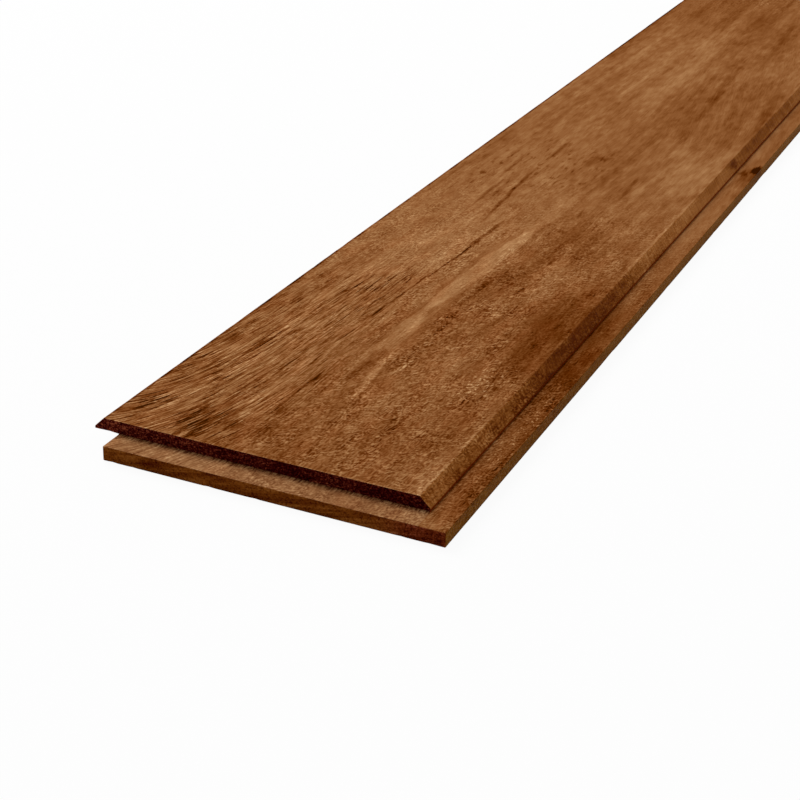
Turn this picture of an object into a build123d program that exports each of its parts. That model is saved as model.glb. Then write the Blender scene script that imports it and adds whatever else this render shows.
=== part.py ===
"""Hardwood cladding board, planed on a moulder and lapped on all four sides.

One solid piece of timber. Its back lies on Z = 0 and its face looks up. It runs along Y.
The upper half of its thickness is the show face, with a bevel down each long side.
The lower half is shifted sideways and endways, so a lip stands out at +X and at -Y.
The face overhangs as far at -X and at +Y, and covers the lips of the boards beside it.
"""

from build123d import *

import os

# Driving dimensions, in millimetres.
length = 1200.0  # over everything, from the end lip to the end overhang
face_width = 130.0  # across the show face from nose to nose, and what one laid board covers
side_lap = 10.0  # lip along the right side, and overhang along the left one
end_lap = 10.5  # lip at the near end, and overhang at the far one
lip_thickness = 5.6  # from the back to the lips' upper face
nose_height = 0.9  # square nose at the foot of each bevel
bevel_height = 4.0  # rise of the bevel from its nose to the face
bevel_width = 4.0  # how far the bevel runs in across the face
arris_radius = 0.4  # easing of the planed edges

# Sizes that follow from them.
overall_width = face_width + side_lap
thickness = lip_thickness + nose_height + bevel_height
face_left = -overall_width / 2
face_right = face_left + face_width
core_left = face_left + side_lap
core_right = overall_width / 2
near_end = -length / 2
far_end = length / 2
nose_top = lip_thickness + nose_height


def moulded_section():
    """The section that the moulder planes, drawn across the far end, with its lip and back edges eased."""
    with BuildSketch(Plane.XZ.offset(-far_end)) as section:
        with BuildLine():
            Polyline(
                (core_left, 0),
                (core_right, 0),
                (core_right, lip_thickness),
                (face_right, lip_thickness),
                (face_right, nose_top),
                (face_right - bevel_width, thickness),
                (face_left + bevel_width, thickness),
                (face_left, nose_top),
                (face_left, lip_thickness),
                (core_left, lip_thickness),
                close=True,
            )
        make_face()
        right_edges = section.vertices().group_by(Axis.X)[-1]
        back_left_edge = section.vertices().group_by(Axis.Y)[0].sort_by(Axis.X)[0]
        fillet([*right_edges, back_left_edge], arris_radius)
    return section


with BuildPart() as cladding_board:
    # The moulded length, from the far end to the near one, still square at both.
    extrude(moulded_section().sketch, amount=length)

    # Near end: the face is milled away down to the lip.
    with BuildSketch(Plane.XY.offset(lip_thickness)):
        with Locations((0, near_end)):
            Rectangle(overall_width, end_lap, align=(Align.CENTER, Align.MIN))
    extrude(amount=thickness - lip_thickness, mode=Mode.SUBTRACT)

    # Far end: the back is milled away up to the overhang.
    with BuildSketch(Plane.XY):
        with Locations((0, far_end)):
            Rectangle(overall_width, end_lap, align=(Align.CENTER, Align.MAX))
    extrude(amount=lip_thickness, mode=Mode.SUBTRACT)

cladding_board.part.label = "cladding_board"

os.makedirs("parts", exist_ok=True)
export_step(cladding_board.part, "parts/cladding_board.step")
print("size", overall_width, length, thickness)
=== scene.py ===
"""A hardwood cladding board, lapped on all four sides, on a pale studio floor.

The board is one piece of timber. Its dressed mesh stands for the solid of the frame: the same section and
ends, with the planer's relief, eased arrises and small dents. Its finishes are procedural.
"""

import logging
import math
from collections.abc import Sequence
from dataclasses import dataclass, field
from enum import Enum

import bpy
import numpy as np
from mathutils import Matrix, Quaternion, Vector


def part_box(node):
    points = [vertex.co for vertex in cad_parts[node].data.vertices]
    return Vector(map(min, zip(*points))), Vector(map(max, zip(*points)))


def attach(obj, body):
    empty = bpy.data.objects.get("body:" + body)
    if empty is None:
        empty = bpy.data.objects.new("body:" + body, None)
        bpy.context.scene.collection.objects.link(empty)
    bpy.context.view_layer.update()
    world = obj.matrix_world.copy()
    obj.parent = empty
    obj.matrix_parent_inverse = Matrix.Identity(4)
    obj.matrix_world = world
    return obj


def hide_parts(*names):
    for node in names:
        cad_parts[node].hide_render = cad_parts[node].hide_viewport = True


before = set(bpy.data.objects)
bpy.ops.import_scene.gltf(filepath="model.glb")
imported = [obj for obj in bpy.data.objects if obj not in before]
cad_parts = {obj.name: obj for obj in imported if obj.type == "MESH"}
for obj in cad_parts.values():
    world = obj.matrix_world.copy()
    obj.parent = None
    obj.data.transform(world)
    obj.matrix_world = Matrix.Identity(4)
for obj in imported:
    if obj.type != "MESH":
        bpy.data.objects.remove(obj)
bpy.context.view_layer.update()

Colour = tuple[float, float, float]
Triple = tuple[float, float, float]
Socket = bpy.types.NodeSocket
Value = float | Socket
Grid = np.ndarray
Stops = tuple[tuple[float, Colour], ...]

MM = 0.001
NODE = "cladding_board"
PIECE = "cladding_board_timber"
SHADER = "Principled BSDF"
LATTICE_SIDE = 97
SHORT_WAVE_SEED = 50
WELD_STEPS_PER_METRE = 1e7
NOISE_SHIFT = (7.31, 3.77, 5.93)
BUMP_DISTANCE = 0.4 * MM
log = logging.getLogger(NODE)


class Surface(Enum):
    """The board's surfaces, by how each was made. The value is the material's place on the mesh."""

    FACE = 0
    BEVEL = 1
    NOSE = 2
    SIDE_LIP = 3
    END_LIP = 4
    EDGE = 5
    OVERHANG = 6
    BACK = 7
    FACE_END = 8
    LIP_END = 9
    LEFT_BEVEL = 10


def paint(red: int, green: int, blue: int) -> Colour:
    """Turns a colour as a screen shows it, 0 to 255, into the linear values that a shader takes.

    Args:
        red: Red, 0 to 255.
        green: Green, 0 to 255.
        blue: Blue, 0 to 255.

    Returns:
        The three linear values, 0 to 1.
    """
    shown = np.array([red, green, blue]) / 255
    linear = np.where(shown <= 0.04045, shown / 12.92, ((shown + 0.055) / 1.055) ** 2.4)
    return tuple(float(c) for c in linear)


def shades(*stops: tuple[float, int, int, int]) -> Stops:
    """Makes a ramp's stops, each of a place and of red, green and blue as a screen shows them."""
    return tuple((place, paint(*colour)) for place, *colour in stops)


def lattice_noise(u: Grid, v: Grid, seed: int) -> Grid:
    """Smooth noise on a plane, 0 to 1.

    A square lattice holds random heights. Between its points the height runs from one to the next along
    3t^2 - 2t^3, first along u and then along v.

    Args:
        u: Places along the first direction, in lattice steps.
        v: Places along the second direction, in lattice steps.
        seed: Picks the lattice's heights.

    Returns:
        The noise at each place.
    """
    side = LATTICE_SIDE
    heights = np.random.default_rng(seed).random((side, side))
    iu, iv = np.floor(u).astype(int), np.floor(v).astype(int)
    fu, fv = u - iu, v - iv
    fu, fv = fu * fu * (3 - 2 * fu), fv * fv * (3 - 2 * fv)
    a = heights[iu % side, iv % side]
    b = heights[(iu + 1) % side, iv % side]
    c = heights[iu % side, (iv + 1) % side]
    d = heights[(iu + 1) % side, (iv + 1) % side]
    return (a * (1 - fu) + b * fu) * (1 - fv) + (c * (1 - fu) + d * fu) * fv


@dataclass(frozen=True)
class BoardSizes:
    """The board's sizes in metres. The frame gives the outer ones, and the moulder sets the rest."""

    left: float
    right: float
    near: float
    far: float
    top: float
    side_lap: float = 10.0 * MM
    end_lap: float = 10.5 * MM
    lip_thickness: float = 5.6 * MM
    nose_height: float = 0.9 * MM
    bevel_width: float = 4.0 * MM

    @classmethod
    def from_frame(cls) -> "BoardSizes":
        """Reads the outer sizes from the node's box."""
        low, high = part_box(NODE)
        return cls(left=low.x, right=high.x, near=low.y, far=high.y, top=high.z)

    @property
    def face_right(self) -> float:
        """Where the show face's right nose stands."""
        return self.right - self.side_lap

    @property
    def core_left(self) -> float:
        """Where the lower layer's left side stands."""
        return self.left + self.side_lap

    @property
    def face_near(self) -> float:
        """Where the show face starts, past the end lip."""
        return self.near + self.end_lap

    @property
    def core_far(self) -> float:
        """Where the lower layer ends, under the end overhang."""
        return self.far - self.end_lap

    @property
    def nose_top(self) -> float:
        """Where the nose gives way to the bevel."""
        return self.lip_thickness + self.nose_height


@dataclass(frozen=True)
class Relief:
    """How far a surface dips below its plane.

    The depth at a place is the greatest depth times two layers of noise. The long one has long_share of the
    whole. The short one has the rest, and is finer by finer_across and finer_along.
    """

    depth: float = 0.05 * MM
    across: float = 9.0 * MM
    along: float = 70.0 * MM
    seed: int = 1
    long_share: float = 0.7
    finer_across: float = 3.1
    finer_along: float = 7.3

    def dip(self, across: Grid, along: Grid) -> Grid:
        """Gives the depth at each place of a grid, in metres.

        Args:
            across: Distance across the grain, in metres.
            along: Distance along the grain, in metres.

        Returns:
            The depth, from 0 to the greatest.
        """
        u, v = across / self.across, along / self.along
        long_wave = lattice_noise(u, v, self.seed)
        short_wave = lattice_noise(u * self.finer_across, v * self.finer_along, self.seed + SHORT_WAVE_SEED)
        return self.depth * (self.long_share * long_wave + (1 - self.long_share) * short_wave)


PLANED = Relief(depth=0.06 * MM, seed=3)
MILLED = Relief(depth=0.05 * MM, across=5 * MM, along=40 * MM, seed=11)
SAWN = Relief(depth=0.12 * MM, across=2.5 * MM, along=2.5 * MM, seed=21)
ROUGH = Relief(depth=0.10 * MM, across=14 * MM, along=30 * MM, seed=31)


@dataclass
class Shell:
    """A closed mesh put together from grids of points that share their borders."""

    points: list[Grid] = field(default_factory=list)
    quads: list[Grid] = field(default_factory=list)
    surfaces: list[Grid] = field(default_factory=list)
    count: int = 0

    def add(self, grid: Grid, outward: Triple, surface: Surface, relief: Relief | None) -> None:
        """Adds one grid of quads, turned to face outwards, with its inner points sunk by the relief.

        The border stays where it is, because the next grid shares it. An inner point moves against the
        outward direction by the relief's depth there.

        Args:
            grid: Points of shape (rows, columns, 3), in metres.
            outward: The direction that the surface faces.
            surface: Which surface of the board this is.
            relief: The surface's relief, or None for a true plane.
        """
        grid = grid.copy()
        rows, columns = grid.shape[:2]
        normal = np.array(outward, float)
        normal /= np.linalg.norm(normal)
        if relief is not None and rows > 2 and columns > 2:
            spread = grid[..., 0] + grid[..., 2]
            dip = relief.dip(spread, grid[..., 1])[1:-1, 1:-1]
            grid[1:-1, 1:-1] -= dip[..., None] * normal
        index = np.arange(rows * columns).reshape(rows, columns) + self.count
        corners = index[:-1, :-1], index[1:, :-1], index[1:, 1:], index[:-1, 1:]
        quads = np.stack(corners, -1).reshape(-1, 4)
        middle = grid[rows // 2 - 1:rows // 2 + 1, columns // 2 - 1:columns // 2 + 1]
        facing = np.cross(middle[-1, 0] - middle[0, 0], middle[0, -1] - middle[0, 0])
        if facing @ normal < 0:
            quads = quads[:, ::-1]
        self.points.append(grid.reshape(-1, 3))
        self.quads.append(quads)
        self.surfaces.append(np.full(len(quads), surface.value))
        self.count += rows * columns

    def welded(self) -> tuple[Grid, Grid, Grid]:
        """Joins the grids where their borders share points, to a tenth of a micrometre.

        Returns:
            The points, the quads and each quad's surface number.
        """
        points = np.concatenate(self.points)
        quads = np.concatenate(self.quads)
        keys = np.round(points * WELD_STEPS_PER_METRE).astype(np.int64)
        _, first, place = np.unique(keys, axis=0, return_index=True, return_inverse=True)
        return points[first], place.reshape(-1)[quads], np.concatenate(self.surfaces)


@dataclass
class CladdingBoard:
    """The dressed board: its shell, worked out from the section and the laps, and its arrises."""

    sizes: BoardSizes
    across_step: float = 2.0 * MM
    near_step: float = 1.6 * MM
    step_growth: float = 0.0025
    edge_rows: int = 4
    near_rows: int = 7
    far_rows: int = 5
    arris_width: float = 0.35 * MM
    arris_segments: int = 2
    arris_angle: float = 30.0
    dent_depth: float = 0.20 * MM
    dent_from: float = 0.70
    dent_length: float = 7 * MM
    dent_shifts: Triple = (5 * MM, 3 * MM, 2 * MM)
    dent_seed: int = 71

    def stations(self, start: float, end: float) -> Grid:
        """Spaces points evenly from start to end, about one across_step apart."""
        cells = max(1, round((end - start) / self.across_step))
        return np.linspace(start, end, cells + 1)

    def rows(self) -> Grid:
        """Places the rows along the board between the laps.

        The step grows evenly with the distance s from the start: step = near_step + step_growth * s. So
        s = near_step / step_growth * (exp(step_growth * n) - 1) at row n, and n is scaled to end on the
        lap.

        Returns:
            The rows' places along Y, in metres.
        """
        s = self.sizes
        reach = s.core_far - s.face_near
        ratio = self.near_step / self.step_growth
        last = math.log(reach / ratio + 1) / self.step_growth
        steps = np.linspace(0.0, last, round(last) + 1)
        return s.face_near + ratio * np.expm1(self.step_growth * steps)

    @staticmethod
    def sweep(section: Grid, along: Grid) -> Grid:
        """Carries a line of (x, z) points straight along Y.

        Args:
            section: The line's points, of shape (columns, 2).
            along: The places along Y.

        Returns:
            A grid of shape (rows, columns, 3).
        """
        x = np.broadcast_to(section[:, 0], (len(along), len(section)))
        z = np.broadcast_to(section[:, 1], (len(along), len(section)))
        y = np.broadcast_to(along[:, None], x.shape)
        return np.stack([x, y, z], -1)

    @staticmethod
    def cross_cut(low: Grid, high: Grid, shares: Grid, z_low: float, z_high: float, y: float) -> Grid:
        """Fills an end face between its lower and upper edge.

        Each row lies at a share of the height, and its points lie at the same share of the way from the
        lower edge's points to the upper edge's.

        Args:
            low: The lower edge's places along X.
            high: The upper edge's places along X.
            shares: The rows' shares of the height, from 0 to 1.
            z_low: Height of the lower edge.
            z_high: Height of the upper edge.
            y: Place of the end face along Y.

        Returns:
            A grid of shape (rows, columns, 3).
        """
        x = low + shares[:, None] * (high - low)
        z = np.broadcast_to((z_low + shares * (z_high - z_low))[:, None], x.shape)
        return np.stack([x, np.full_like(x, y), z], -1)

    def shell(self) -> Shell:
        """Puts the board's surfaces together, each with its own relief."""
        s = self.sizes
        overhang_x = self.stations(s.left, s.core_left)
        core_x = self.stations(s.core_left, s.face_right)
        lip_x = self.stations(s.face_right, s.right)
        foot_x = np.concatenate([overhang_x, core_x[1:]])
        shrink = 1 - 2 * s.bevel_width / (s.face_right - s.left)
        top_x = s.left + s.bevel_width + (foot_x - s.left) * shrink
        back_x = np.concatenate([core_x, lip_x[1:]])
        lip_z = np.linspace(0.0, s.lip_thickness, self.edge_rows + 1)
        climb = np.linspace(0.0, 1.0, self.edge_rows + 1)
        near_y = np.linspace(s.near, s.face_near, self.near_rows + 1)
        middle_y = self.rows()
        far_y = np.linspace(s.core_far, s.far, self.far_rows + 1)
        face_y = np.concatenate([middle_y, far_y[1:]])
        core_y = np.concatenate([near_y, middle_y[1:]])

        def level(x: Grid, z: float) -> Grid:
            """A flat line of section points at one height."""
            return np.stack([x, np.full_like(x, z)], -1)

        def upright(x: float, z: Grid) -> Grid:
            """An upright line of section points at one place across."""
            return np.stack([np.full_like(z, x), z], -1)

        rise = s.top - s.nose_top
        slope_z = s.nose_top + climb * rise
        left_slope = np.stack([s.left + climb * s.bevel_width, slope_z], -1)
        right_slope = np.stack([s.face_right - climb * s.bevel_width, slope_z], -1)
        nose_z = np.array([s.lip_thickness, s.nose_top])
        strips = (
            (level(top_x, s.top), face_y, (0, 0, 1), Surface.FACE, PLANED),
            (left_slope, face_y, (-rise, 0, s.bevel_width), Surface.LEFT_BEVEL, MILLED),
            (right_slope, face_y, (rise, 0, s.bevel_width), Surface.BEVEL, MILLED),
            (upright(s.left, nose_z), face_y, (-1, 0, 0), Surface.LEFT_BEVEL, None),
            (upright(s.face_right, nose_z), face_y, (1, 0, 0), Surface.NOSE, None),
            (level(overhang_x, s.lip_thickness), face_y, (0, 0, -1), Surface.OVERHANG, MILLED),
            (level(core_x, s.lip_thickness), far_y, (0, 0, -1), Surface.OVERHANG, MILLED),
            (level(lip_x, s.lip_thickness), core_y, (0, 0, 1), Surface.SIDE_LIP, MILLED),
            (level(core_x, s.lip_thickness), near_y, (0, 0, 1), Surface.END_LIP, MILLED),
            (upright(s.right, lip_z), core_y, (1, 0, 0), Surface.EDGE, MILLED),
            (upright(s.core_left, lip_z), core_y, (-1, 0, 0), Surface.EDGE, MILLED),
            (level(back_x, 0.0), core_y, (0, 0, -1), Surface.BACK, ROUGH),
        )
        shell = Shell()
        for section, along, outward, surface, relief in strips:
            shell.add(self.sweep(section, along), outward, surface, relief)
        for y, outward in ((s.near, (0, -1, 0)), (s.core_far, (0, 1, 0))):
            lip_face = self.cross_cut(back_x, back_x, lip_z / s.lip_thickness, 0.0, s.lip_thickness, y)
            shell.add(lip_face, outward, Surface.LIP_END, SAWN)
        for y, outward in ((s.face_near, (0, -1, 0)), (s.far, (0, 1, 0))):
            nose = self.cross_cut(foot_x, foot_x, np.array([0.0, 1.0]), s.lip_thickness, s.nose_top, y)
            slope = self.cross_cut(foot_x, top_x, climb, s.nose_top, s.top, y)
            shell.add(np.concatenate([nose, slope[1:]]), outward, Surface.FACE_END, SAWN)
        return shell

    @staticmethod
    def corners(mesh: bpy.types.Mesh, least_angle: float) -> tuple[Grid, Grid, Grid]:
        """Finds the edges where two faces meet at a corner, the outer corners apart from the inner ones.

        A corner is an outer one where the second face's centre lies behind the first face's plane. The
        angle is that between the two normals.

        Args:
            mesh: A closed mesh.
            least_angle: The smallest angle that counts, in degrees.

        Returns:
            The outer corners' edge numbers, for each the unit direction that points out of its corner, and
            the inner corners' edge numbers.
        """
        face_count, loop_count = len(mesh.polygons), len(mesh.loops)
        normals = np.empty(face_count * 3)
        centres = np.empty(face_count * 3)
        sides = np.empty(face_count, int)
        edge_of_loop = np.empty(loop_count, int)
        mesh.polygons.foreach_get("normal", normals)
        mesh.polygons.foreach_get("center", centres)
        mesh.polygons.foreach_get("loop_total", sides)
        mesh.loops.foreach_get("edge_index", edge_of_loop)
        normals, centres = normals.reshape(-1, 3), centres.reshape(-1, 3)
        face_of_loop = np.repeat(np.arange(face_count), sides)
        order = np.argsort(edge_of_loop, kind="stable")
        pairs = face_of_loop[order].reshape(-1, 2)
        first, second = normals[pairs[:, 0]], normals[pairs[:, 1]]
        behind = ((centres[pairs[:, 1]] - centres[pairs[:, 0]]) * first).sum(1) < 0
        turned = (first * second).sum(1) < math.cos(math.radians(least_angle))
        outer = np.flatnonzero(behind & turned)
        out = first[outer] + second[outer]
        return outer, out / np.linalg.norm(out, axis=1, keepdims=True), np.flatnonzero(~behind & turned)

    def dent(self, mesh: bpy.types.Mesh, edges: Grid, out: Grid) -> None:
        """Sinks small dents into the arrises.

        A dent's depth is dent_depth * max(0, n - dent_from) / (1 - dent_from), with n the noise: most of an
        arris stays sharp, and now and then it is knocked in towards the timber. The noise is read at
        y / dent_length, and the shifts give each arris a stretch of its own.

        Args:
            mesh: The board's mesh.
            edges: The arrises' edge numbers.
            out: For each, the unit direction that points out of its corner.
        """
        ends = np.empty(len(mesh.edges) * 2, int)
        mesh.edges.foreach_get("vertices", ends)
        ends = ends.reshape(-1, 2)[edges]
        points = np.empty(len(mesh.vertices) * 3)
        mesh.vertices.foreach_get("co", points)
        points = points.reshape(-1, 3)
        push = np.zeros_like(points)
        np.add.at(push, ends.ravel(), np.repeat(out, 2, axis=0))
        length = np.linalg.norm(push, axis=1, keepdims=True)
        push = np.divide(push, length, out=np.zeros_like(push), where=length > 0)
        x, y, z = points.T
        first, second, third = self.dent_shifts
        noise = lattice_noise(y / self.dent_length + x / first, x / second + z / third, self.dent_seed)
        depth = self.dent_depth * np.maximum(0.0, noise - self.dent_from) / (1 - self.dent_from)
        mesh.vertices.foreach_set("co", (points - push * depth[:, None]).ravel())

    def build(self, materials: Sequence[bpy.types.Material]) -> bpy.types.Object:
        """Makes the board's object, dresses it and lets it stand for the solid.

        Args:
            materials: One material for each Surface, in order.

        Returns:
            The finished object, at the origin.
        """
        points, quads, surfaces = self.shell().welded()
        mesh = bpy.data.meshes.new(PIECE)
        mesh.from_pydata(points, [], quads.tolist())
        for material in materials:
            mesh.materials.append(material)
        mesh.polygons.foreach_set("material_index", surfaces)
        mesh.polygons.foreach_set("use_smooth", np.ones(len(surfaces), bool))
        arrises, out, inner = self.corners(mesh, self.arris_angle)
        self.dent(mesh, arrises, out)
        weights = np.zeros(len(mesh.edges), np.float32)
        weights[arrises] = 1.0
        mesh.attributes.new("bevel_weight_edge", "FLOAT", "EDGE").data.foreach_set("value", weights)
        sharp = np.zeros(len(mesh.edges), bool)
        sharp[inner] = True
        mesh.attributes.new("sharp_edge", "BOOLEAN", "EDGE").data.foreach_set("value", sharp)
        mesh.update()
        board = bpy.data.objects.new(PIECE, mesh)
        bpy.context.scene.collection.objects.link(board)
        easing = board.modifiers.new("eased_arris", "BEVEL")
        easing.limit_method = "WEIGHT"
        easing.width = self.arris_width
        easing.segments = self.arris_segments
        easing.harden_normals = True
        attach(board, "root")
        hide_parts(NODE)
        return board


class Graph:
    """Builds a node tree: each method adds a node and gives back its output."""

    def __init__(self, tree: bpy.types.NodeTree) -> None:
        """Keeps the tree that the nodes go into."""
        self.tree = tree

    def add(self, kind: str, **settings: object) -> bpy.types.Node:
        """Adds a node and sets its properties."""
        node = self.tree.nodes.new(kind)
        for name, value in settings.items():
            setattr(node, name, value)
        return node

    def feed(self, socket: Socket, value: Value | Sequence[float]) -> None:
        """Links an output to an input, or sets the input's own value."""
        if isinstance(value, bpy.types.NodeSocket):
            self.tree.links.new(value, socket)
        else:
            socket.default_value = value

    def math(self, operation: str, *values: Value) -> Socket:
        """Adds a Math node, such as ADD or MULTIPLY."""
        node = self.add("ShaderNodeMath", operation=operation)
        for socket, value in zip(node.inputs, values):
            self.feed(socket, value)
        return node.outputs[0]

    def total(self, *values: Value) -> Socket:
        """Adds up several values."""
        result = values[0]
        for value in values[1:]:
            result = self.math("ADD", result, value)
        return result

    def marked(self, start: Value, marks: Sequence["Mark"], spot: "Spot") -> Value:
        """Adds each mark to the start as soon as it is made, so that few values are held at a time."""
        for mark in marks:
            start = self.math("ADD", start, mark.shade(self, spot.place, spot.sideways))
        return start

    def apart(self, value: Value, other: Value) -> Socket:
        """Gives the distance between two values."""
        return self.math("ABSOLUTE", self.math("SUBTRACT", value, other))

    def vector(self, operation: str, *values: Value | Triple) -> Socket:
        """Adds a Vector Math node."""
        node = self.add("ShaderNodeVectorMath", operation=operation)
        for socket, value in zip(node.inputs, values):
            self.feed(socket, value)
        return node.outputs["Value" if operation in ("LENGTH", "DOT_PRODUCT") else "Vector"]

    def parts(self, vector: Socket) -> tuple[Socket, Socket, Socket]:
        """Splits a vector."""
        node = self.add("ShaderNodeSeparateXYZ")
        self.feed(node.inputs[0], vector)
        return node.outputs[0], node.outputs[1], node.outputs[2]

    def point(self, x: Value, y: Value, z: Value) -> Socket:
        """Makes a vector of three values."""
        node = self.add("ShaderNodeCombineXYZ")
        for socket, value in zip(node.inputs, (x, y, z)):
            self.feed(socket, value)
        return node.outputs[0]

    def noise(
        self, point: Socket, pitch: Triple, detail: float = 2.0, roughness: float = 0.5, seed: int = 0
    ) -> Socket:
        """Noise whose spots are about one pitch long each way, centred on 0, from about -0.5 to 0.5.

        Args:
            point: Where it is read, in millimetres.
            pitch: The spots' size along each axis, in millimetres.
            detail: How many finer layers are added.
            roughness: How strong the finer layers are.
            seed: Moves the noise, so that no two layers share their spots.

        Returns:
            The noise less a half.
        """
        place = self.add("ShaderNodeMapping", vector_type="POINT")
        self.feed(place.inputs["Vector"], point)
        place.inputs["Location"].default_value = tuple(seed * shift for shift in NOISE_SHIFT)
        place.inputs["Scale"].default_value = tuple(1 / size for size in pitch)
        node = self.add("ShaderNodeTexNoise", noise_dimensions="3D")
        self.feed(node.inputs["Vector"], place.outputs[0])
        node.inputs["Scale"].default_value = 1.0
        node.inputs["Detail"].default_value = detail
        node.inputs["Roughness"].default_value = roughness
        return self.math("SUBTRACT", node.outputs[0], 0.5)

    def span(self, value: Value, low: float, high: float, start: float = 0.0, end: float = 1.0) -> Socket:
        """Carries low..high smoothly to start..end, and holds still outside."""
        node = self.add("ShaderNodeMapRange", interpolation_type="SMOOTHSTEP")
        for socket, number in zip(node.inputs, (value, low, high, start, end)):
            self.feed(socket, number)
        return node.outputs[0]

    def tint(self, share: Value, colour: Socket, by: Colour) -> Socket:
        """Multiplies a colour by another one, as far as the share says."""
        node = self.add("ShaderNodeMix", data_type="RGBA", blend_type="MULTIPLY")
        self.feed(node.inputs[0], share)
        self.feed(node.inputs[6], colour)
        node.inputs[7].default_value = (*by, 1.0)
        return node.outputs[2]

    def bump(self, height: Value, strength: float) -> Socket:
        """Turns a height into a bent normal."""
        node = self.add("ShaderNodeBump")
        node.inputs["Strength"].default_value = strength
        node.inputs["Distance"].default_value = BUMP_DISTANCE
        self.feed(node.inputs["Height"], height)
        return node.outputs[0]

    def ramp(self, value: Socket, stops: Stops) -> Socket:
        """Turns a value into a colour by way of stops."""
        node = self.add("ShaderNodeValToRGB")
        elements = node.color_ramp.elements
        while len(elements) < len(stops):
            elements.new(0.5)
        for element, (place, colour) in zip(elements, stops):
            element.position = place
            element.color = (*colour, 1.0)
        self.feed(node.inputs[0], value)
        return node.outputs[0]


@dataclass(frozen=True)
class Mark:
    """A soft oval on the board that is darker or lighter than what is round it.

    Places are in millimetres from the left nose and from the near end. With dy the distance along, dx that
    across less lean * dy, and r = sqrt((dx / half_width)^2 + (dy / half_length)^2), the tone changes by
    strength * (1 - smoothstep from core to 1 of r).
    """

    across: float
    along: float
    half_width: float
    half_length: float
    strength: float
    lean: float = 0.0
    core: float = 0.0

    def shade(self, graph: Graph, place: Socket, sideways: Socket) -> Socket:
        """Adds the nodes that work the mark out.

        Args:
            graph: Where the nodes go.
            place: Distances from the left nose and from the near end, in millimetres, and 0.
            sideways: The second of these distances as a vector across the board.

        Returns:
            The change of tone.
        """
        wide, long = 1 / self.half_width, 1 / self.half_length
        start = ((self.lean * self.along - self.across) * wide, -self.along * long, 0.0)
        local = graph.vector("MULTIPLY_ADD", place, (wide, long, 0.0), start)
        if self.lean:
            local = graph.vector("MULTIPLY_ADD", sideways, (-self.lean * wide, 0.0, 0.0), local)
        return graph.span(graph.vector("LENGTH", local), self.core, 1.0, self.strength, 0.0)


@dataclass(frozen=True)
class Spot:
    """A place on the board, as the marks read it."""

    place: Socket
    sideways: Socket

    @classmethod
    def at(cls, graph: Graph, x: Socket, y: Socket) -> "Spot":
        """Makes a place of its distances from the left nose and from the near end."""
        return cls(graph.point(x, y, 0.0), graph.point(y, 0.0, 0.0))


class Course(Enum):
    """The line that a layer's spots follow."""

    GRAIN = "along the fanned grain"
    STRAIGHT = "along the board"
    RIPPLE = "across the board, a little away from the near end"


@dataclass(frozen=True)
class Layer:
    """One layer of the figure: stretched noise, and where on the board it is strong.

    Attributes:
        pitch: The spots' size across, along and down, in millimetres.
        weight: How far the tone changes.
        course: The line that the spots follow.
        edge: Where given, only noise above the first value counts, in full from the second. When the first
            is below 0, the layer swings from -0.5 to 0.5 between them.
        base: Strength away from the zones.
        patch: How far the strength comes and goes in patches.
        zones: Where it is stronger.
        relief: How far the height changes.
        detail: How many finer layers of noise are added.
        roughness: How strong the finer layers are.
    """

    pitch: Triple
    weight: float
    course: Course = Course.GRAIN
    edge: tuple[float, float] | None = None
    base: float = 1.0
    patch: float = 0.0
    zones: tuple[Mark, ...] = ()
    relief: float = 0.0
    detail: float = 2.0
    roughness: float = 0.55

    def shade(
        self, graph: Graph, courses: dict[Course, Socket], spot: Spot, patches: Socket, seed: int
    ) -> Socket:
        """Adds the nodes that work the layer out.

        Args:
            graph: Where the nodes go.
            courses: The point to read for each course.
            spot: The place on the board, for the zones.
            patches: The noise that makes strength come and go, centred on 0.
            seed: Tells the layer's noise from the others'.

        Returns:
            The layer's value before its weight.
        """
        value = graph.noise(courses[self.course], self.pitch, self.detail, self.roughness, seed)
        if self.edge:
            middle = 0.5 if self.edge[0] < 0 else 0.0
            value = graph.span(value, *self.edge, -middle, 1 - middle)
        if self.zones or self.patch:
            share = graph.marked(self.base, self.zones, spot)
            if self.patch:
                share = graph.math("MULTIPLY", graph.math("MULTIPLY_ADD", patches, self.patch, 1.0), share)
            value = graph.math("MULTIPLY", value, graph.math("MAXIMUM", share, 0.0))
        return value


# Zones, where a layer is stronger or weaker.
FAR_HALF = Mark(65, 520, 400, 330, -0.62, core=0.45)
FAR_SOFT = Mark(65, 520, 400, 330, -0.20, core=0.45)
FAR_TOP = Mark(65, 480, 170, 330, 1.0, core=0.5)
LEFT_FIBRES = Mark(28, 60, 44, 180, 0.85, core=0.45)
LEFT_CORNER = Mark(18, 26, 44, 110, 0.9, core=0.3)
PLAIN_LEFT = Mark(26, 80, 44, 180, -0.30, core=0.5)
PLAIN_END = Mark(30, 1, 70, 12, -0.3, core=0.6)
CALM_LEFT = Mark(22, 110, 46, 220, -0.36, core=0.7)
LIGHT_BAND = Mark(67, 170, 7, 95, -0.4, core=0.7)
DARK_PATCH = Mark(124, 165, 24, 66, -0.34, core=0.5)
RIGHT_CORNER = Mark(102, 34, 46, 40, 1.0, core=0.3)

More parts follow.
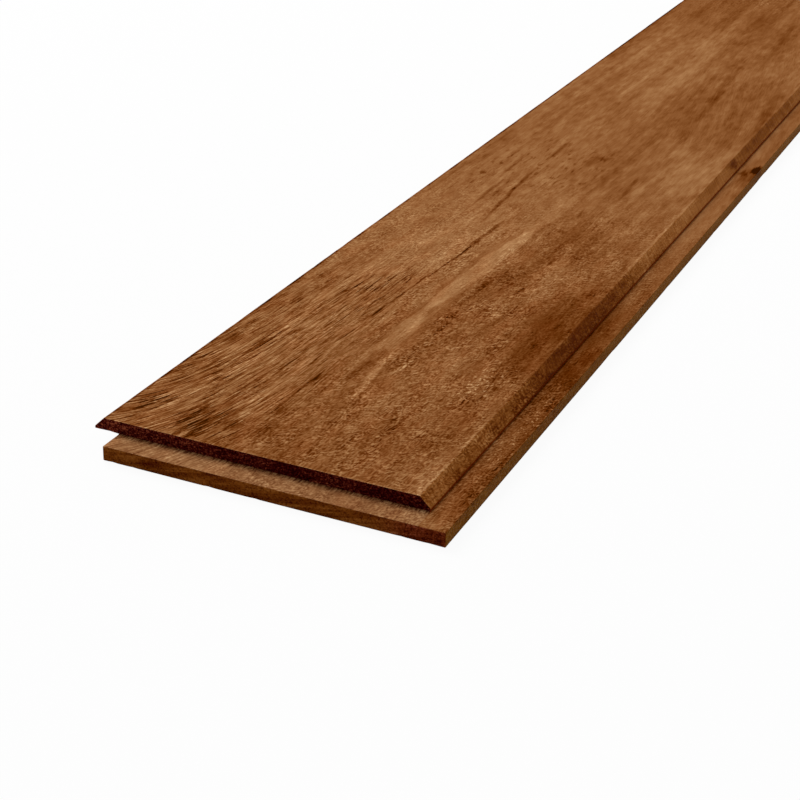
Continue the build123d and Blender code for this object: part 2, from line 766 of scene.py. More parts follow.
LAYERS = (
    # Broad figure, and the streaks of the far half.
    Layer((16, 380, 16), 0.34),
    Layer((6, 60, 9), 0.34, zones=(FAR_HALF, CALM_LEFT)),
    Layer((9, 260, 12), 0.24, base=0.0, zones=(FAR_TOP,), detail=1.0),
    Layer((3.5, 110, 6), 0.20, base=0.0, zones=(FAR_TOP,), detail=1.0),
    Layer((9, 22, 9), 0.22, Course.STRAIGHT, zones=(FAR_SOFT,)),
    Layer((2.2, 12, 4), 0.27, patch=1.2, relief=0.2, detail=1.0, zones=(FAR_HALF, CALM_LEFT)),
    Layer((3.2, 12, 6), 0.34, Course.STRAIGHT, base=0.0, zones=(FAR_TOP,), detail=1.5),
    # Dark flecks in the middle distance.
    Layer(
        (1.8, 8, 3), -0.20, edge=(0.03, 0.20), base=0.0, patch=2.5, detail=1.5,
        zones=(Mark(40, 345, 60, 80, 0.9, core=0.3), Mark(100, 280, 20, 60, 0.7)),
    ),
    # Torn fibres: fine fur, light hairs, soft shadows between them and dark strokes.
    Layer(
        (0.32, 9, 2), 0.26, edge=(-0.11, 0.11), base=0.15, relief=0.6, detail=0.6,
        zones=(LEFT_FIBRES, PLAIN_END),
    ),
    Layer(
        (0.42, 11, 2), 0.28, edge=(0.07, 0.13), base=0.12, relief=0.5, detail=0.5,
        zones=(LEFT_CORNER, PLAIN_END),
    ),
    Layer((0.9, 16, 4), -0.20, edge=(0.05, 0.12), base=0.1, patch=1.5, zones=(LEFT_FIBRES,), detail=1.0),
    Layer(
        (0.45, 12, 3), -0.36, edge=(0.06, 0.13), base=0.15, patch=2.0, relief=-0.5, detail=0.5,
        zones=(
            Mark(20, 70, 50, 110, 0.4, core=0.3), Mark(38, 162, 18, 40, 1.0, core=0.3),
            Mark(34, 23, 11, 18, 0.5, core=0.4), Mark(12, 34, 8, 14, 0.6, core=0.3),
        ),
    ),
    # Pebbled tear-out: grains, short ripples, pits and bright chips.
    Layer(
        (0.7, 1.2, 0.8), 0.32, Course.RIPPLE, edge=(-0.13, 0.13), base=0.72, patch=2.0, relief=1.0,
        detail=0.0, zones=(PLAIN_LEFT, LIGHT_BAND, FAR_HALF, DARK_PATCH),
    ),
    Layer(
        (2.2, 0.9, 1.0), 0.30, Course.RIPPLE, edge=(0.02, 0.18), base=0.62, patch=2.0, relief=0.5,
        detail=0.0, zones=(PLAIN_LEFT, LIGHT_BAND, FAR_HALF, DARK_PATCH),
    ),
    Layer(
        (0.8, 1.2, 1.0), -0.20, Course.RIPPLE, edge=(0.10, 0.18), base=0.30, patch=2.0, relief=-0.4,
        detail=0.0, zones=(PLAIN_LEFT, FAR_HALF, Mark(77, 145, 4, 60, 0.6, core=0.3)),
    ),
    Layer(
        (0.9, 1.1, 1.0), 0.60, Course.RIPPLE, edge=(0.17, 0.25), base=0.12, relief=0.4,
        detail=0.0, zones=(Mark(113, 100, 13, 30, 0.9), Mark(137, 80, 8, 80, 0.7), FAR_HALF),
    ),
    # Chatter across the grain at the near right corner.
    Layer((10, 1.6, 5), 0.22, Course.STRAIGHT, base=0.1, zones=(RIGHT_CORNER,), relief=0.2, detail=1.0),
)

BLOTCHES = (
    # The dark patch along the right nose.
    Mark(120, 158, 21, 56, -0.165), Mark(129, 165, 8, 80, -0.10, core=0.3), Mark(114, 165, 18, 50, -0.06),
    Mark(118, 118, 14, 30, -0.10), Mark(121, 200, 9, 40, -0.11),
    # The side lip and the bevel above it.
    Mark(136, 62, 9, 130, -0.27, core=0.5), Mark(138, 172, 8, 78, -0.22, core=0.6),
    # Mark(128, 330) is painted light: it lightens the bevel's bottom and the nose in the far half, against
    # the shade in the seam there.
    Mark(128, 330, 4, 130, 0.18, core=0.5), Mark(137, -1, 12, 14, 0.16, core=0.3),
    Mark(135, 334, 5, 66, 0.17, core=0.6), Mark(136, 404, 6.5, 18, -0.24, core=0.3),
    # The near left corner and the left side behind it.
    Mark(20, 40, 34, 56, -0.05, core=0.4), Mark(6, 22, 13, 24, -0.12, core=0.3),
    Mark(42, 24, 13, 24, -0.13, core=0.4), Mark(33, 25, 12, 20, -0.15, core=0.3),
    Mark(23, 84, 13, 28, -0.10), Mark(12, 56, 13, 32, -0.10, core=0.2),
    Mark(22, 105, 11, 120, -0.03, core=0.6),
    Mark(12, 114, 12, 22, 0.07), Mark(16, 185, 24, 70, 0.04, core=0.3), Mark(13, 256, 16, 50, 0.08),
    Mark(43, 203, 6, 22, 0.09),
    # The middle, on both sides of the light band.
    Mark(60, 30, 13, 26, -0.08), Mark(59, 90, 8, 26, 0.06), Mark(62, 110, 5, 20, 0.06),
    Mark(57.5, 215, 4, 26, -0.10), Mark(82, 92, 6, 18, 0.08), Mark(80, 130, 8, 16, 0.07),
    Mark(82, 150, 8, 90, -0.06, core=0.5), Mark(84, 206, 15, 30, -0.11), Mark(82, 240, 4, 30, -0.10),
    Mark(91, 96, 16, 34, 0.10), Mark(96, 110, 52, 190, -0.055, core=0.75),
    # The near right corner, and the right side behind the dark patch.
    Mark(80, 18, 60, 26, -0.04, core=0.3), Mark(94, 26, 7, 16, 0.07), Mark(116, 22, 18, 18, 0.12),
    Mark(100, 42, 24, 34, -0.05), Mark(102, 240, 24, 34, -0.09), Mark(119, 250, 8, 60, -0.06),
    Mark(101, 262, 9, 44, -0.07), Mark(88, 260, 12, 50, -0.12, core=0.3),
    Mark(97, 325, 17, 90, -0.08, core=0.4),
    # The far half.
    Mark(60, 450, 120, 330, 0.04, core=0.5), Mark(6, 335, 5, 110, -0.04, core=0.4),
    Mark(46, 400, 7, 24, 0.09), Mark(91, 446, 7, 30, -0.06), Mark(122, 446, 8, 30, -0.07),
    Mark(34, 470, 7, 50, -0.06), Mark(104, 490, 28, 96, -0.11, core=0.6), Mark(98, 500, 8, 60, 0.07),
    Mark(13, 525, 12, 66, -0.06), Mark(56, 545, 18, 120, 0.09),
    Mark(86, 545, 4, 100, -0.17, -0.075, 0.3), Mark(70, 560, 7, 60, 0.10),
    Mark(40, 560, 8, 120, 0.09, core=0.3), Mark(88, 604, 13, 44, -0.06),
    Mark(7, 625, 11, 100, -0.12, core=0.4), Mark(48, 638, 9, 56, 0.14), Mark(62, 648, 45, 12, -0.07),
    Mark(92, 650, 20, 70, -0.08, core=0.3), Mark(88, 680, 12, 50, -0.12), Mark(68, 700, 9, 50, -0.09),
    Mark(24, 710, 8, 44, -0.09), Mark(60, 770, 150, 130, -0.08, core=0.3),
)

STREAKS = (
    # The light band, its branches and the dark line beside it.
    Mark(68.6, 208, 5, 62, 0.19, 0.055, 0.75), Mark(66, 130, 5.2, 26, 0.18, core=0.65),
    Mark(63, 106, 2.2, 18, 0.17, core=0.3), Mark(73.2, 84, 2, 24, 0.20, -0.08, 0.5),
    Mark(55, 140, 2.4, 26, 0.12, core=0.4), Mark(66.8, 90, 3.4, 15, -0.20, core=0.3),
    Mark(114, 366, 12, 34, 0.09, core=0.7), Mark(54.8, 240, 1.7, 34, -0.36, 0.02, 0.5),
    Mark(74.2, 300, 3, 50, 0.08, 0.05, 0.5), Mark(75.6, 176, 3, 60, -0.10, 0.04, 0.4),
    Mark(98, 214, 2.6, 40, 0.10, core=0.4), Mark(90, 122, 7, 14, 0.05),
    # The long cracks between the band and the left side, and the short ones round them.
    Mark(50.2, 162, 0.75, 30, -0.26, 0.06, 0.5), Mark(49.4, 141, 1.5, 9, -0.36, 0.05, 0.2),
    Mark(51.6, 184, 1, 15, -0.22, 0.05), Mark(53.3, 208, 0.75, 32, -0.32, 0.05, 0.4),
    Mark(46, 183, 0.8, 10, -0.26, -0.1), Mark(43.4, 144, 0.8, 10, -0.28),
    Mark(37.8, 158, 0.8, 20, -0.30, 0.03), Mark(29.5, 166, 0.8, 20, -0.30, 0.09),
    Mark(27, 150, 0.8, 13, -0.26, 0.2),
    Mark(25.6, 127, 0.9, 15, -0.30, 0.05), Mark(24.2, 103, 0.8, 18, -0.30, 0.1),
    Mark(47.6, 118, 0.8, 15, -0.34, 0.08), Mark(35.5, 194, 1.2, 9, -0.28), Mark(11.7, 168, 1.5, 11, -0.20),
    # Dark flecks on the right of the band.
    Mark(76.7, 190, 3, 10, -0.28), Mark(92, 191, 1.3, 10, -0.26), Mark(92.8, 228, 1.1, 9, -0.25),
    Mark(78, 156, 1.5, 10, -0.14), Mark(66.5, 84, 1.4, 10, -0.20),
    # Dark strokes in the near left corner, which lean with its grain.
    Mark(28.5, 23, 0.7, 14, -0.21, 0.3, 0.2), Mark(31, 24, 0.6, 12, -0.17, 0.3, 0.2),
    Mark(33.2, 20, 0.7, 13, -0.21, 0.3, 0.2), Mark(35.6, 24, 0.7, 13, -0.21, 0.28, 0.2),
    Mark(38, 19, 0.6, 12, -0.21, 0.25, 0.2), Mark(41, 22, 0.6, 14, -0.20, 0.18, 0.2),
    Mark(10.5, 33, 0.8, 10, -0.30, 0.45, 0.2), Mark(13, 31, 0.7, 9, -0.26, 0.45, 0.2),
    Mark(5.2, 42, 0.8, 9, -0.30, 0.35), Mark(16.5, 27, 1, 9, -0.26, 0.45),
    Mark(39.5, 62, 0.8, 12, -0.30, 0.1, 0.2), Mark(35.5, 58, 1.3, 11, -0.29, 0.15),
    Mark(18.5, 69, 0.8, 10, -0.24, 0.3), Mark(27, 92, 0.8, 16, -0.32, 0.12),
    Mark(54.8, 68, 0.9, 18, -0.32, 0.05, 0.3), Mark(54, 48, 1, 13, -0.29),
    Mark(22, 86, 0.8, 14, -0.22, 0.1), Mark(40, 78, 0.95, 12, -0.31, 0.05),
    # Dark spots near the near end, on the right.
    Mark(74.6, 22, 1.2, 7, -0.26), Mark(80, 22, 1.4, 7, -0.24), Mark(82.5, 38, 5, 5, -0.12),
    Mark(95, 57, 1.2, 7, -0.24), Mark(98, 46, 1.1, 6, -0.16), Mark(113, 44, 7.5, 2.2, -0.10),
    Mark(115, 27, 6.5, 2.6, -0.10),
    # Dark streaks in the middle distance.
    Mark(44, 305, 1.5, 54, -0.30, -0.06, 0.2), Mark(93, 340, 1.8, 26, -0.18, -0.06, 0.2),
    Mark(68, 378, 6, 5, -0.24), Mark(34, 300, 2, 28, -0.28), Mark(30, 350, 2.2, 26, -0.26),
    Mark(42, 380, 2.2, 24, -0.22), Mark(64, 372, 4.5, 18, -0.12),
    # The knot in the side lip, the crack beside it, and dark spots along the lip.
    Mark(138.6, 415, 2.6, 10, -0.95, core=0.4), Mark(134, 405, 4, 5, -0.34, core=0.3),
    Mark(140, 402, 2.4, 12, -0.26, core=0.3), Mark(127.4, 409, 2.2, 8, -0.30, core=0.4),
    Mark(138.6, 104, 2.6, 12, -0.34, core=0.2), Mark(138.8, 60, 0.8, 30, -0.22, core=0.2),
)


@dataclass(frozen=True)
class HardwoodFigure:
    """The timber's figure, shared by every long-grain surface, as one node group.

    Sizes are in millimetres, from the left nose and from the near end. Grain lines lean to the right as
    they leave the near left corner, and straighten: a line's place across is less by
    fan * exp(-x / fan_across - y / fan_along). Past lean_from they lean back to the left, by lean_back from
    the second place of lean_across on. Ripples cross the board and rise by ripple. The marks' outlines
    wander across and fray along, those of the blotches by more_wander and more_fray times as much. Low on
    the board's sides the marks fade, down to least_depth of their strength.
    """

    fan: float = 42.0
    fan_across: float = 45.0
    fan_along: float = 90.0
    sway: float = 18.0
    lean_back: float = 0.08
    lean_from: float = 430.0
    lean_across: tuple[float, float] = (50.0, 95.0)
    ripple: float = 0.55
    ripple_jitter: float = 6.0
    wander: float = 3.0
    fray: float = 14.0
    more_wander: float = 2.2
    more_fray: float = 2.0
    least_depth: float = 0.3
    layers: tuple[Layer, ...] = LAYERS
    blotches: tuple[Mark, ...] = BLOTCHES
    streaks: tuple[Mark, ...] = STREAKS

    def group(self, sizes: BoardSizes) -> bpy.types.NodeTree:
        """Makes the node group: Point in, Tone and Height out, both about 0 to 1.

        Args:
            sizes: The board's sizes, which place the figure on it.

        Returns:
            The node group.
        """
        tree = bpy.data.node_groups.new("hardwood_figure", "ShaderNodeTree")
        tree.interface.new_socket("Point", in_out="INPUT", socket_type="NodeSocketVector")
        tree.interface.new_socket("Tone", in_out="OUTPUT", socket_type="NodeSocketFloat")
        tree.interface.new_socket("Height", in_out="OUTPUT", socket_type="NodeSocketFloat")
        g = Graph(tree)
        inlet, outlet = g.add("NodeGroupInput"), g.add("NodeGroupOutput")
        corner = (sizes.left, sizes.near, 0.0)
        point = g.vector("DIVIDE", g.vector("SUBTRACT", inlet.outputs[0], corner), (MM, MM, MM))
        x, y, z = g.parts(point)

        reach = g.math("ADD", g.math("DIVIDE", x, -self.fan_across), g.math("DIVIDE", y, -self.fan_along))
        fan = g.math("MULTIPLY", g.math("EXPONENT", reach), self.fan)
        sway = g.math("MULTIPLY", g.noise(point, (60, 240, 60), 1.0, seed=31), self.sway)
        beyond = g.math("MAXIMUM", g.math("SUBTRACT", y, self.lean_from), 0.0)
        lean = g.math("MULTIPLY", beyond, g.span(x, *self.lean_across, 0.0, self.lean_back))
        line = g.total(x, fan, sway, lean)
        rising = g.math("MULTIPLY_ADD", x, -self.ripple, y)
        jitter = g.noise(point, (5, 5, 5), 1.0, seed=35)
        rippled = g.math("MULTIPLY_ADD", jitter, self.ripple_jitter, rising)
        courses = {
            Course.GRAIN: g.point(line, y, z),
            Course.STRAIGHT: point,
            Course.RIPPLE: g.point(x, rippled, z),
        }

        wander = g.math("MULTIPLY", g.noise(point, (6, 16, 6), seed=32), self.wander)
        fray = g.math("MULTIPLY", g.noise(point, (1.3, 14, 3), 1.0, seed=33), self.fray)
        close = Spot.at(g, g.math("ADD", x, wander), g.math("ADD", y, fray))
        across = g.math("MULTIPLY_ADD", wander, self.more_wander, x)
        loose = Spot.at(g, across, g.math("MULTIPLY_ADD", fray, self.more_fray, y))

        patches = g.noise(point, (8, 20, 8), 1.0, seed=34)
        depth = g.span(z, 1.0, 9.0, self.least_depth, 1.0)
        marks = g.marked(g.marked(0.0, self.blotches, loose), self.streaks, close)
        tone, height = g.math("MULTIPLY_ADD", marks, depth, 0.5), 0.5
        for seed, layer in enumerate(self.layers):
            value = layer.shade(g, courses, close, patches, seed)
            tone = g.math("MULTIPLY_ADD", value, layer.weight, tone)
            if layer.relief:
                height = g.math("MULTIPLY_ADD", value, layer.relief, height)
        g.feed(outlet.inputs[0], tone)
        g.feed(outlet.inputs[1], height)
        return tree


@dataclass(frozen=True)
class Finish:
    """What every finish has: its material's name, and the colours that its tone runs through."""

    name: str
    stops: Stops

    def start(self) -> tuple[bpy.types.Material, Graph, bpy.types.Node, Socket]:
        """Makes the finish's material, still plain.

        Returns:
            The material, its graph, its shader and the place on the board, in metres.
        """
        material = bpy.data.materials.new(self.name)
        material.use_nodes = True
        graph = Graph(material.node_tree)
        place = graph.add("ShaderNodeTexCoord").outputs["Object"]
        return material, graph, material.node_tree.nodes[SHADER], place


@dataclass(frozen=True)
class LongGrain(Finish):
    """A planed or milled surface that runs along the grain.

    Attributes:
        lift: How much lighter it is than the figure.
        contrast: How strongly the figure shows.
        roughness: The shader's roughness where the figure's height is 0.
        specular: The shader's specular level.
        bump: How strongly the figure's height bends it.
        arris: How strong the painted highlight is along the face's right arris and across its end.
        arris_sides: What that is multiplied by along the left and the right side; below 0 it is painted
            shade.
        cross_streaks: How strong the streaks are that cross it at a slant.
        hairs: How dark the torn fibres are that hang over it from the face's end.
        hair_reach: Where they end, and where they are in full, in millimetres before the face's end.
        foot_shade: How dark the painted shade is along the nose's bottom, in its corner with the side lip.
        foot_shade_reach: Where it starts to fade, and where it stops fading, in millimetres along Y.
        foot_shade_far: How much of it is left from there on.
        ruddy: What its redder patches are multiplied by.
        ruddy_share: How far they are, at the near end.
        ruddy_reach: Where they start to fade, and where none are left, in millimetres along Y.
        sheen: How much the roughness falls as the figure's height goes from 0 to 1.
    """

    lift: float = 0.0
    contrast: float = 1.0
    roughness: float = 0.67
    specular: float = 0.01
    bump: float = 0.25
    arris: float = 0.0
    arris_sides: tuple[float, float] = (-2.2, 0.28)
    cross_streaks: float = 0.0
    hairs: float = 0.0
    hair_reach: tuple[float, float] = (3.2, 0.4)
    foot_shade: float = 0.0
    foot_shade_reach: tuple[float, float] = (-420.0, -330.0)
    foot_shade_far: float = 0.4
    ruddy: Colour = (1.06, 0.86, 0.74)
    ruddy_share: float = 0.36
    ruddy_reach: tuple[float, float] = (-430.0, -240.0)
    sheen: float = 0.12

    def material(self, figure: bpy.types.NodeTree, sizes: BoardSizes) -> bpy.types.Material:
        """Makes the finish's material.

        Args:
            figure: The timber's figure.
            sizes: The board's sizes, which place the painted highlight and shade on the arrises, the
                painted shade along the nose's bottom and the torn fibres.

        Returns:
            The material.
        """
        material, g, shader, place = self.start()
        timber = g.add("ShaderNodeGroup", node_tree=figure)
        g.feed(timber.inputs[0], place)
        figured, height = timber.outputs
        swing = g.math("MULTIPLY", g.math("SUBTRACT", figured, 0.5), self.contrast)
        tone = g.math("ADD", swing, 0.5 + self.lift)
        point = g.vector("DIVIDE", place, (MM, MM, MM))
        x, y, z = g.parts(point)
        nose, front = sizes.face_right / MM, sizes.face_near / MM
        if self.cross_streaks:
            slant = g.point(g.math("MULTIPLY_ADD", x, 0.8, y), x, z)
            tone = g.math("MULTIPLY_ADD", g.noise(slant, (1.3, 9.0, 9.0)), self.cross_streaks, tone)
        if self.hairs:
            hair = g.span(g.noise(point, (0.7, 7.0, 7.0), 1.0, seed=41), -0.04, 0.12)
            tip, root = (front - reach for reach in self.hair_reach)
            tone = g.math("MULTIPLY_ADD", hair, g.span(y, tip, root, 0.0, -self.hairs), tone)
        if self.foot_shade:
            # Painted shade: a dark line along the nose's bottom, in its corner with the side lip.
            # The line starts beside the face, and is fainter past the dark patch.
            fading = g.span(y, *self.foot_shade_reach, 1.0, self.foot_shade_far)
            beside = g.math("MULTIPLY", g.span(y, front - 0.3, front + 0.3), fading)
            tone = g.math("MULTIPLY_ADD", g.span(x, nose + 0.2, nose + 1.1, -self.foot_shade, 0.0), beside, tone)
        if self.arris:
            # Painted highlight along the face's right side and across its end, and painted shade along its
            # left, both stronger in some patches than in others.
            centre = (sizes.left + sizes.face_right) / 2 / MM
            half = nose - centre - sizes.bevel_width / MM
            side = g.span(g.apart(g.apart(x, centre), half), 0.5, 1.5, self.arris, 0.0)
            side = g.math("MULTIPLY", side, g.span(x, -9.0, 9.0, *self.arris_sides))
            line = g.math("ADD", side, g.span(g.apart(y, front), 0.25, 0.8, self.arris, 0.0))
            breakup = g.span(g.noise(point, (8.0, 14.0, 8.0)), -0.15, 0.15, 0.3, 1.0)
            tone = g.math("MULTIPLY_ADD", line, breakup, tone)
        redder = g.span(g.noise(point, (7, 26, 7), 3.0, seed=36), -0.1, 0.2)
        redder = g.math("MULTIPLY", redder, g.span(y, *self.ruddy_reach, self.ruddy_share, 0.0))
        g.feed(shader.inputs["Base Color"], g.tint(redder, g.ramp(tone, self.stops), self.ruddy))
        g.feed(shader.inputs["Roughness"], g.math("MULTIPLY_ADD", height, -self.sheen, self.roughness))
        shader.inputs["Specular IOR Level"].default_value = self.specular
        g.feed(shader.inputs["Normal"], g.bump(height, self.bump))
        return material


@dataclass(frozen=True)
class SawnEnd(Finish):
    """A sawn end face: dark end grain with slanting growth bands and open pores.

    Attributes:
        slant: How far the bands sink for each millimetre to the right.
        length: The bands' length, in millimetres.
        width: Their width, in millimetres.
        veins: How strongly they show.
        grains: How strong the fine grain is.
        broad: How strongly broad patches show.
        pores: How dark the open pores are.
        light_left: How much lighter the left end is.
        left_reach: How far that goes, in millimetres from the left nose.
        light_right: How much lighter the right end is.
        red_right: How far the right end is reddened, and how much coarser its grain is.
        right_reach: Where the right end starts, and where it is in full, in millimetres from the left nose.
        red: What the reddened end is multiplied by.
        bump: How strongly grain and pores bend it.
        roughness: The shader's roughness.
        specular: The shader's specular level.
    """

    slant: float = -0.3
    length: float = 9.0
    width: float = 1.3
    veins: float = 0.8
    grains: float = 1.3
    broad: float = 0.6
    pores: float = 0.25
    light_left: float = 0.0
    left_reach: float = 100.0
    light_right: float = 0.0
    red_right: float = 0.0
    right_reach: tuple[float, float] = (110.0, 130.0)
    red: Colour = (0.78, 0.45, 0.95)
    bump: float = 0.5
    roughness: float = 0.9
    specular: float = 0.01

    def material(self, figure: bpy.types.NodeTree, sizes: BoardSizes) -> bpy.types.Material:
        """Makes the finish's material.

        Args:
            figure: The timber's figure, which an end face doesn't show. It is not used.
            sizes: The board's sizes, which place the ends' lighter and darker stretches.

        Returns:
            The material.
        """
        material, g, shader, place = self.start()
        point = g.vector("DIVIDE", g.vector("SUBTRACT", place, (sizes.left, 0.0, 0.0)), (MM, MM, MM))
        x, y, z = g.parts(point)
        rings = g.point(x, y, g.math("MULTIPLY_ADD", x, self.slant, z))
        bands = g.noise(rings, (self.length, 60, self.width), detail=3.0, roughness=0.6, seed=1)
        grains = g.noise(point, (0.8, 0.8, 0.6), detail=2.0, roughness=0.6, seed=2)
        pore = g.span(g.noise(point, (0.5, 0.5, 0.5), detail=0.0, seed=3), 0.10, 0.20)
        broad = g.noise(point, (14, 60, 12), detail=1.0, seed=4)
        right = g.span(x, *self.right_reach)
        coarse = g.math("MULTIPLY_ADD", right, self.red_right, self.grains)
        tone = g.total(
            0.5,
            g.math("MULTIPLY", bands, self.veins),
            g.math("MULTIPLY", grains, coarse),
            g.math("MULTIPLY", broad, self.broad),
            g.math("MULTIPLY", pore, -self.pores),
            g.span(x, 0.0, self.left_reach, self.light_left, 0.0),
            g.math("MULTIPLY", right, self.light_right),
        )
        reddened = g.tint(g.math("MULTIPLY", right, self.red_right), g.ramp(tone, self.stops), self.red)
        g.feed(shader.inputs["Base Color"], reddened)
        shader.inputs["Roughness"].default_value = self.roughness
        shader.inputs["Specular IOR Level"].default_value = self.specular
        g.feed(shader.inputs["Normal"], g.bump(g.math("SUBTRACT", grains, pore), self.bump))
        return material


FACE_STOPS = shades(
    (0.0, 56, 22, 0), (0.1, 84, 34, 0), (0.22, 103, 52, 14), (0.35, 121, 70, 31), (0.5, 140, 89, 49),
    (0.65, 158, 110, 68), (0.8, 177, 129, 85), (1.0, 209, 166, 119),
)
# Painted shade: the right nose takes a darker, redder copy of the face's colours, for its corner with the
# side lip.
SHADED_NOSE_STOPS = shades((0.0, 68, 8, 0), (0.5, 128, 48, 0), (1.0, 190, 108, 40))
# Painted shade: the right bevel, which faces away from the lamp, takes a redder, deeper copy of the face's
# colours. The left bevel keeps the face's colours.
SHADED_BEVEL_STOPS = shades(
    (0.0, 72, 20, 0), (0.25, 104, 46, 2), (0.5, 142, 80, 26), (0.75, 176, 112, 56), (1.0, 206, 148, 90),
)
END_LIP_STOPS = shades(
    (0.0, 82, 40, 23), (0.2, 103, 59, 30), (0.35, 125, 79, 46), (0.5, 143, 97, 60), (0.65, 162, 116, 76),
    (0.8, 180, 134, 92), (1.0, 206, 167, 123),
)
# Painted shade: the upright sides take a darker copy of the face's colours.
SHADED_EDGE_STOPS = shades(
    (0.0, 66, 26, 0), (0.25, 98, 53, 4), (0.5, 122, 73, 13), (0.75, 144, 94, 32), (1.0, 170, 122, 58),
)
# The face's end is much darker than the lip's end.
FACE_END_STOPS = shades(
    (0.0, 26, 0, 0), (0.3, 48, 2, 2), (0.5, 66, 10, 7), (0.7, 94, 30, 18), (1.0, 146, 76, 48),
)
LIP_END_STOPS = shades(
    (0.0, 62, 8, 0), (0.25, 90, 38, 4), (0.5, 112, 56, 11), (0.75, 134, 76, 26), (1.0, 160, 104, 50),
)

FINISHES: dict[Surface, LongGrain | SawnEnd] = {
    Surface.FACE: LongGrain("planed_face", FACE_STOPS, arris=0.22, specular=0.0),
    Surface.BEVEL: LongGrain(
        "milled_bevel_painted_shade", SHADED_BEVEL_STOPS, lift=0.02, contrast=0.95, arris=0.10, cross_streaks=0.42
    ),
    Surface.NOSE: LongGrain("milled_nose_painted_shade", SHADED_NOSE_STOPS, lift=-0.02, contrast=0.5),
    # The side lip carries painted shade along the nose's bottom.
    Surface.SIDE_LIP: LongGrain(
        "side_lip", FACE_STOPS, lift=-0.05, contrast=0.82, foot_shade=0.14, specular=0.0
    ),
    Surface.END_LIP: LongGrain(
        "end_lip", END_LIP_STOPS, lift=0.03, contrast=0.85, hairs=0.45, cross_streaks=0.25, specular=0.0
    ),
    Surface.EDGE: LongGrain("planed_edge_painted_shade", SHADED_EDGE_STOPS, contrast=0.7),
    Surface.OVERHANG: LongGrain("overhang_underside", FACE_STOPS, lift=-0.05),
    Surface.BACK: LongGrain("sized_back", FACE_STOPS, lift=0.02, cross_streaks=0.25, roughness=0.77),
    Surface.LEFT_BEVEL: LongGrain(
        "left_bevel", FACE_STOPS, lift=-0.02, contrast=0.9, arris=0.10, cross_streaks=0.25
    ),
    Surface.FACE_END: SawnEnd("sawn_face_end", FACE_END_STOPS, light_left=0.10, grains=2.0),
    Surface.LIP_END: SawnEnd(
        "sawn_lip_end", LIP_END_STOPS, light_right=0.02, red_right=1.0,
        slant=-0.2, length=26, veins=1.5, grains=0.8,
    ),
}


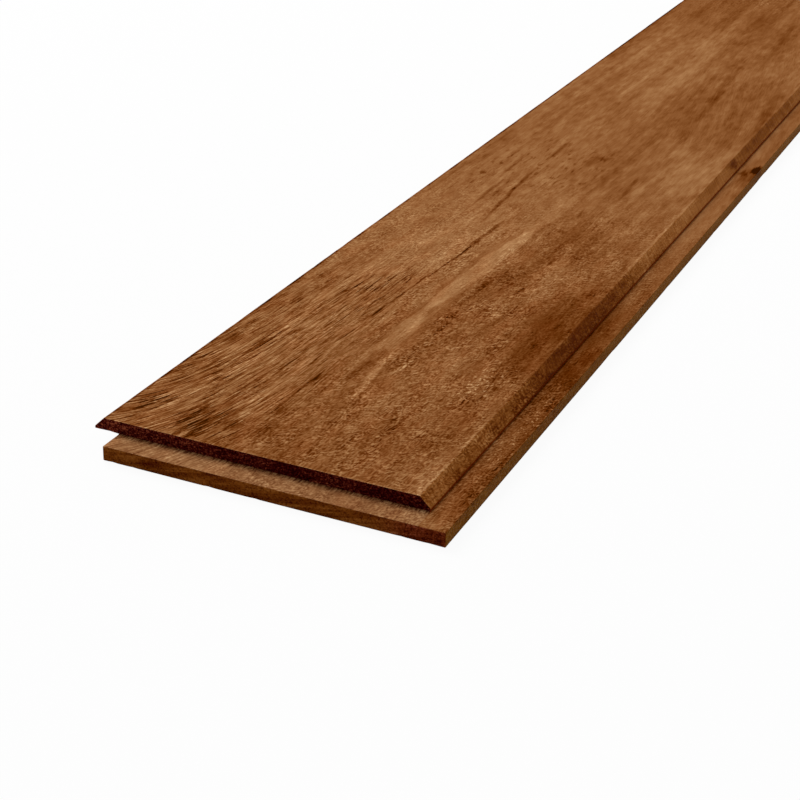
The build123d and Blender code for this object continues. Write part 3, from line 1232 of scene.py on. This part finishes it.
@dataclass
class Studio:
    """The floor, the world, the lamp and the camera. Lengths are in metres, angles in degrees."""

    sizes: BoardSizes
    camera_right: float = 0.24909
    camera_before: float = 0.45243
    camera_height: float = 0.29046
    heading: float = 23.512
    pitch: float = 26.055
    roll: float = 1.933
    lens: float = 78.727
    sensor: float = 36.0
    floor_radius: float = 40.0
    floor_sides: int = 96
    floor_gap: float = 0.0002
    floor_colour: Colour = (0.78, 0.78, 0.78)
    shadow_share: float = 0.06
    shadow_reach: tuple[float, float] = (0.9, 2.4)
    ambient: float = 0.44
    lamp_place: Triple = (-2.4, 0.8, 2.6)
    lamp_size: float = 2.2
    lamp_power: float = 128.0

    def camera(self) -> None:
        """Places the camera.

        It looks heading degrees to the left of +Y and pitch degrees down, and is then turned by roll about
        its own line of sight.
        """
        data = bpy.data.cameras.new("studio_camera")
        data.lens = self.lens
        data.sensor_width = self.sensor
        camera = bpy.data.objects.new("studio_camera", data)
        bpy.context.scene.collection.objects.link(camera)
        turn, dip = math.radians(self.heading), math.radians(self.pitch)
        sight = Vector((-math.sin(turn) * math.cos(dip), math.cos(turn) * math.cos(dip), -math.sin(dip)))
        camera.rotation_mode = "QUATERNION"
        roll = Quaternion((0, 0, 1), math.radians(self.roll))
        camera.rotation_quaternion = sight.to_track_quat("-Z", "Y") @ roll
        camera.location = (self.camera_right, self.sizes.near - self.camera_before, self.camera_height)
        bpy.context.scene.camera = camera

    @staticmethod
    def seen(graph: Graph) -> Socket:
        """Gives 1 to rays that come straight from the camera, or by way of gloss or glass, and else 0."""
        path = graph.add("ShaderNodeLightPath")
        seen = graph.math("MAXIMUM", path.outputs["Is Camera Ray"], path.outputs["Is Glossy Ray"])
        return graph.math("MAXIMUM", seen, path.outputs["Is Transmission Ray"])

    def world(self) -> None:
        """Makes the world white to look at, and a plain soft light otherwise."""
        world = bpy.data.worlds.new("studio_world")
        world.use_nodes = True
        bpy.context.scene.world = world
        g = Graph(world.node_tree)
        background = world.node_tree.nodes["Background"]
        background.inputs["Color"].default_value = (1.0, 1.0, 1.0, 1.0)
        g.feed(background.inputs["Strength"], g.span(self.seen(g), 0.0, 1.0, self.ambient, 1.0))

    def floor(self) -> None:
        """Makes the floor: a disc that looks white, and keeps the board's shadow near the board.

        The shadow shows by shadow_share, and fades out over shadow_reach from the board's middle.
        """
        angles = np.linspace(0, 2 * math.pi, self.floor_sides, endpoint=False)
        rim = np.stack([np.cos(angles), np.sin(angles)], -1) * self.floor_radius
        points = np.column_stack([rim, np.full(len(rim), -self.floor_gap)])
        mesh = bpy.data.meshes.new("studio_floor")
        mesh.from_pydata(points, [], [list(range(len(points)))])
        floor = bpy.data.objects.new("studio_floor", mesh)
        bpy.context.scene.collection.objects.link(floor)
        material = bpy.data.materials.new("studio_floor")
        material.use_nodes = True
        tree = material.node_tree
        tree.nodes.remove(tree.nodes[SHADER])
        g = Graph(tree)
        matt = g.add("ShaderNodeBsdfDiffuse")
        matt.inputs["Color"].default_value = (*self.floor_colour, 1.0)
        white = g.add("ShaderNodeEmission")
        place = g.add("ShaderNodeTexCoord").outputs["Object"]
        share = g.span(g.vector("LENGTH", place), *self.shadow_reach, 1.0 - self.shadow_share, 1.0)
        mix = g.add("ShaderNodeMixShader")
        g.feed(mix.inputs[0], g.math("MULTIPLY", self.seen(g), share))
        g.feed(mix.inputs[1], matt.outputs[0])
        g.feed(mix.inputs[2], white.outputs[0])
        g.feed(tree.nodes["Material Output"].inputs["Surface"], mix.outputs[0])
        mesh.materials.append(material)

    def lamp(self) -> None:
        """Hangs the key lamp, a square soft one that points at the board's middle."""
        data = bpy.data.lights.new("key_lamp", "AREA")
        data.size = self.lamp_size
        data.energy = self.lamp_power
        lamp = bpy.data.objects.new("key_lamp", data)
        bpy.context.scene.collection.objects.link(lamp)
        lamp.location = self.lamp_place
        lamp.rotation_mode = "QUATERNION"
        lamp.rotation_quaternion = (-Vector(self.lamp_place)).to_track_quat("-Z", "Y")

    def build(self) -> None:
        """Sets the studio up."""
        self.camera()
        self.world()
        self.floor()
        self.lamp()
        bpy.context.scene.view_settings.view_transform = "Standard"


def main() -> None:
    """Builds the board and the studio, and reports each piece."""
    logging.basicConfig(level=logging.INFO, format="%(name)s: %(message)s")
    sizes = BoardSizes.from_frame()
    figure = HardwoodFigure().group(sizes)
    materials = [FINISHES[surface].material(figure, sizes) for surface in Surface]
    board = CladdingBoard(sizes).build(materials)
    log.info("%s: %d faces before its arrises are eased", board.name, len(board.data.polygons))
    Studio(sizes).build()
    log.info("studio: camera, floor, world and lamp")


if __name__ == "__main__":
    main()
